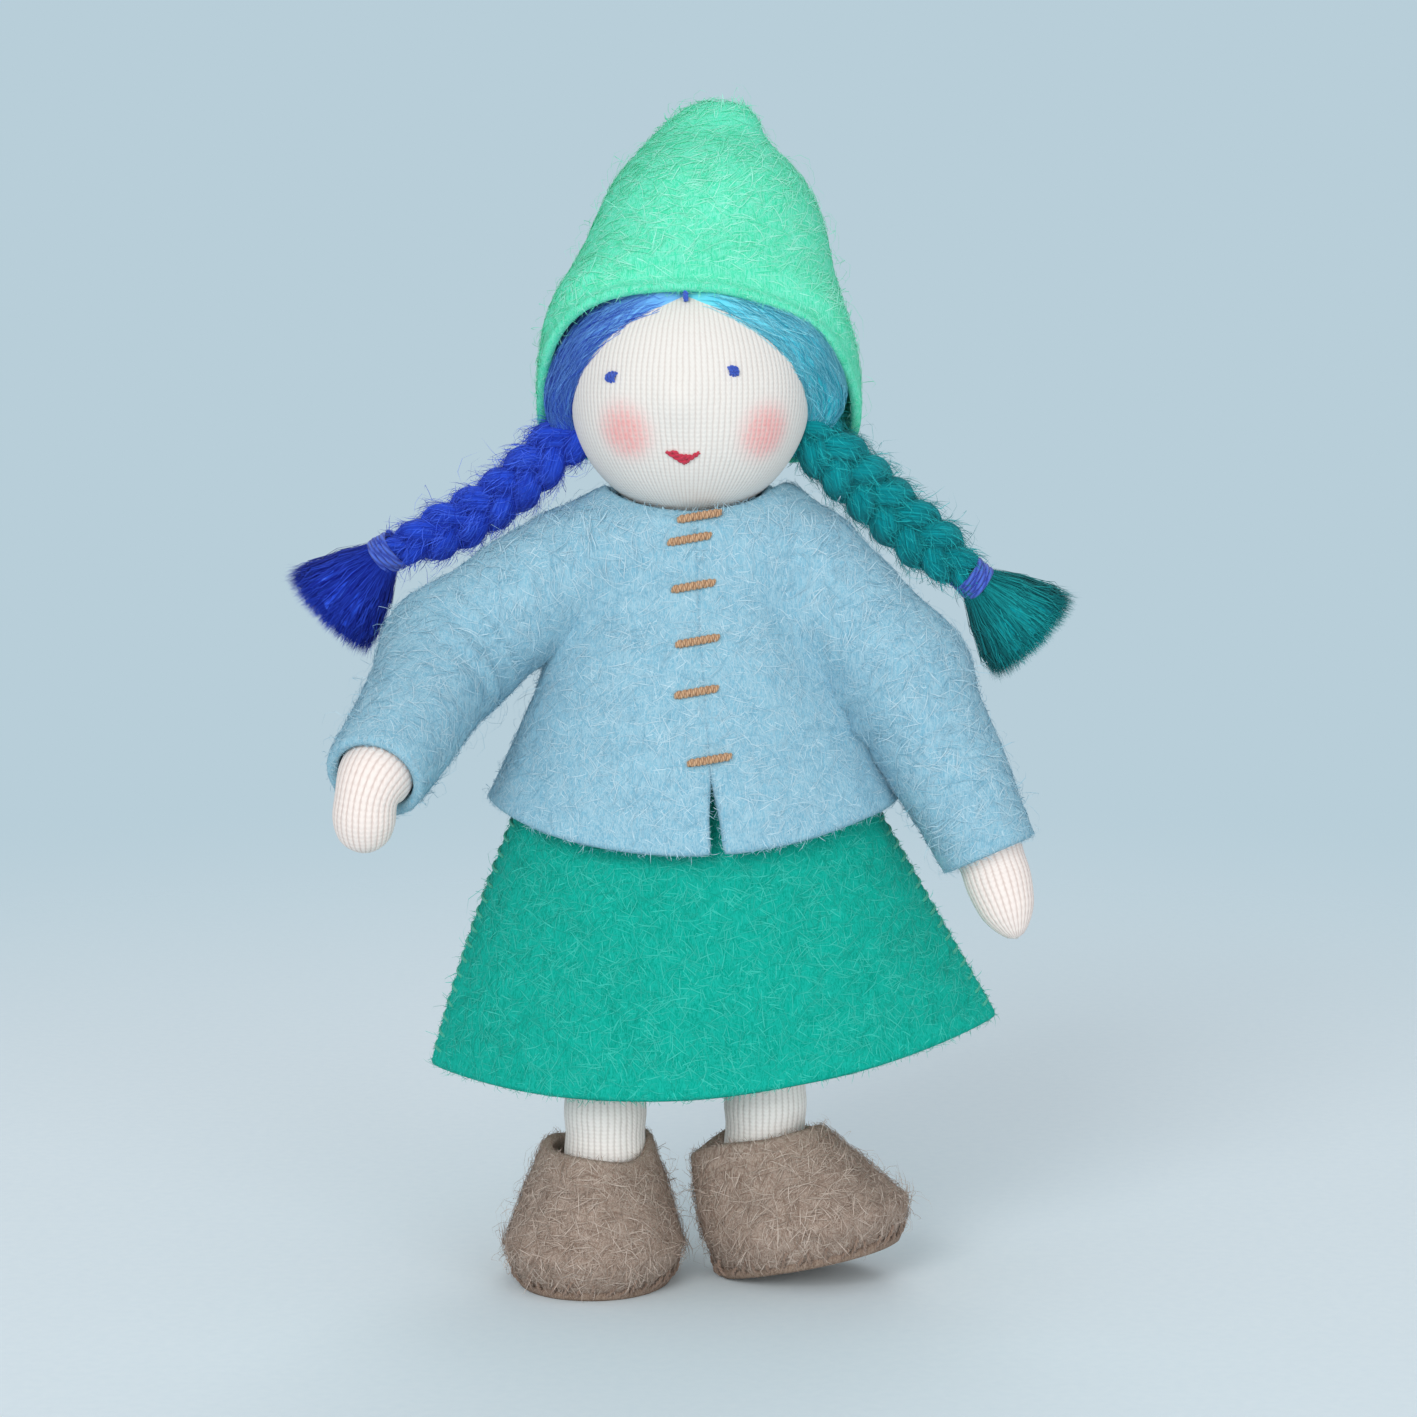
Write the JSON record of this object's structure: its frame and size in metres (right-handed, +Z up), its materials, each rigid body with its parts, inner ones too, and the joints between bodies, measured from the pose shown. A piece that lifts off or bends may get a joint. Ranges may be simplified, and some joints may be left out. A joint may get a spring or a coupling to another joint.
{
  "type": "bendable felt doll",
  "caption": "Bendable doll with a wire armature, jersey skin and plaited wool hair, dressed in a pointed felt hat, stitched felt jacket, flared skirt and shoes.",
  "frame": {"origin": "middle of the underside of the bounding box, on the floor under the standing doll", "axes": "+Z up, -Y the way the doll faces, +X towards its own left hand"},
  "size_m": [0.08, 0.0394, 0.1189],
  "materials": {
    "wire": "plain drawn wire",
    "wool_stuffing": "loose carded wool",
    "jersey": "fine knitted jersey, matt",
    "hat_felt": "thick wool felt, matt",
    "jacket_felt": "thick wool felt, matt",
    "skirt_felt": "thick wool felt, matt",
    "shoe_felt": "thick wool felt, matt",
    "blue_hair": "combed wool fibre",
    "teal_hair": "combed wool fibre",
    "tan_thread": "twisted cotton",
    "blue_thread": "twisted cotton",
    "red_thread": "twisted cotton",
    "pale_thread": "twisted cotton",
    "green_thread": "twisted cotton"
  },
  "bodies": {
    "torso": {"hip_wire": "wire", "spine_wire": "wire", "shoulder_wire": "wire", "torso_stuffing": "wool_stuffing", "jacket_body": "jacket_felt", "jacket_stitch_1": "tan_thread", "jacket_stitch_2": "tan_thread", "jacket_stitch_3": "tan_thread", "jacket_stitch_4": "tan_thread", "jacket_stitch_5": "tan_thread", "jacket_stitch_6": "tan_thread", "skirt_front": "skirt_felt", "skirt_back": "skirt_felt", "waist_thread": "green_thread"},
    "neck": {"neck_wire": "wire"},
    "head": {"head_core": "wool_stuffing", "head_skin": "jersey", "neck_thread": "pale_thread", "eye_left": "blue_thread", "eye_right": "blue_thread", "mouth_stitch": "red_thread", "hair_left": "teal_hair", "hair_right": "blue_hair", "parting_stitch": "blue_thread", "hat": "hat_felt"},
    "plait_left": {"plait_left": "teal_hair", "plait_tie_left": "blue_thread", "tassel_left": "teal_hair"},
    "upper_arm_left": {"upper_arm_wire_left": "wire", "upper_arm_wrap_left": "wool_stuffing", "sleeve_upper_left": "jacket_felt"},
    "forearm_left": {"forearm_wire_left": "wire", "forearm_wrap_left": "wool_stuffing", "sleeve_lower_left": "jacket_felt"},
    "hand_left": {"hand_left": "jersey"},
    "leg_left": {"leg_wire_left": "wire", "leg_stuffing_left": "wool_stuffing", "stocking_left": "jersey"},
    "foot_left": {"shoe_sole_left": "shoe_felt", "shoe_upper_left": "shoe_felt", "foot_stuffing_left": "wool_stuffing"},
    "plait_right": {"plait_right": "blue_hair", "plait_tie_right": "blue_thread", "tassel_right": "blue_hair"},
    "upper_arm_right": {"upper_arm_wire_right": "wire", "upper_arm_wrap_right": "wool_stuffing", "sleeve_upper_right": "jacket_felt"},
    "forearm_right": {"forearm_wire_right": "wire", "forearm_wrap_right": "wool_stuffing", "sleeve_lower_right": "jacket_felt"},
    "hand_right": {"hand_right": "jersey"},
    "leg_right": {"leg_wire_right": "wire", "leg_stuffing_right": "wool_stuffing", "stocking_right": "jersey"},
    "foot_right": {"shoe_sole_right": "shoe_felt", "shoe_upper_right": "shoe_felt", "foot_stuffing_right": "wool_stuffing"}
  },
  "joints": [
    {"name": "neck_nod", "type": "hinge", "parent": "torso", "child": "neck", "pos_m": [0.00106, 0.00344, 0.075], "axis": [1, 0, 0], "range_deg": [-8, 10]},
    {"name": "head_turn", "type": "hinge", "parent": "neck", "child": "head", "pos_m": [0.00106, 0.00344, 0.075], "axis": [0, 0, 1], "range_deg": [-25, 25]},
    {"name": "plait_swing_left", "type": "hinge", "parent": "head", "child": "plait_left", "pos_m": [0.01416, 0.00524, 0.0838], "axis": [0, -1, 0], "range_deg": [-4, 35]},
    {"name": "shoulder_raise_left", "type": "hinge", "parent": "torso", "child": "upper_arm_left", "pos_m": [0.01226, 0.00344, 0.0724], "axis": [0, -1, 0], "range_deg": [0, 30]},
    {"name": "elbow_bend_left", "type": "hinge", "parent": "upper_arm_left", "child": "forearm_left", "pos_m": [0.02237, 0.001, 0.06077], "axis": [-0.7547, 0, -0.6561], "range_deg": [-5, 50]},
    {"name": "wrist_bend_left", "type": "hinge", "parent": "forearm_left", "child": "hand_left", "pos_m": [0.03086, -0.00207, 0.04337], "axis": [-0.9511, 0, -0.309], "range_deg": [-20, 25]},
    {"name": "hip_swing_left", "type": "hinge", "parent": "torso", "child": "leg_left", "pos_m": [0.00866, 0.00344, 0.0468], "axis": [-1, 0, 0], "range_deg": [-12, 14]},
    {"name": "ankle_tilt_left", "type": "hinge", "parent": "leg_left", "child": "foot_left", "pos_m": [0.00866, 0.00344, 0.0108], "axis": [-0.4226, -0.9063, 0], "range_deg": [-20, 5]},
    {"name": "plait_swing_right", "type": "hinge", "parent": "head", "child": "plait_right", "pos_m": [-0.01204, 0.00524, 0.0838], "axis": [0, 1, 0], "range_deg": [-4, 35]},
    {"name": "shoulder_raise_right", "type": "hinge", "parent": "torso", "child": "upper_arm_right", "pos_m": [-0.01014, 0.00344, 0.0724], "axis": [0, 1, 0], "range_deg": [-8, 29]},
    {"name": "elbow_bend_right", "type": "hinge", "parent": "upper_arm_right", "child": "forearm_right", "pos_m": [-0.02257, 0.00073, 0.06337], "axis": [-0.5878, 0, 0.809], "range_deg": [-35, 16]},
    {"name": "wrist_bend_right", "type": "hinge", "parent": "forearm_right", "child": "hand_right", "pos_m": [-0.02999, -0.01597, 0.05149], "axis": [0.8938, -0.4437, 0.065], "range_deg": [-30, 5]},
    {"name": "hip_swing_right", "type": "hinge", "parent": "torso", "child": "leg_right", "pos_m": [-0.00754, 0.00344, 0.046], "axis": [-1, 0, 0], "range_deg": [-12, 14]},
    {"name": "ankle_tilt_right", "type": "hinge", "parent": "leg_right", "child": "foot_right", "pos_m": [-0.00754, 0.00344, 0.01], "axis": [-0.9962, 0.0872, 0], "range_deg": [-10, 15]}
  ]
}
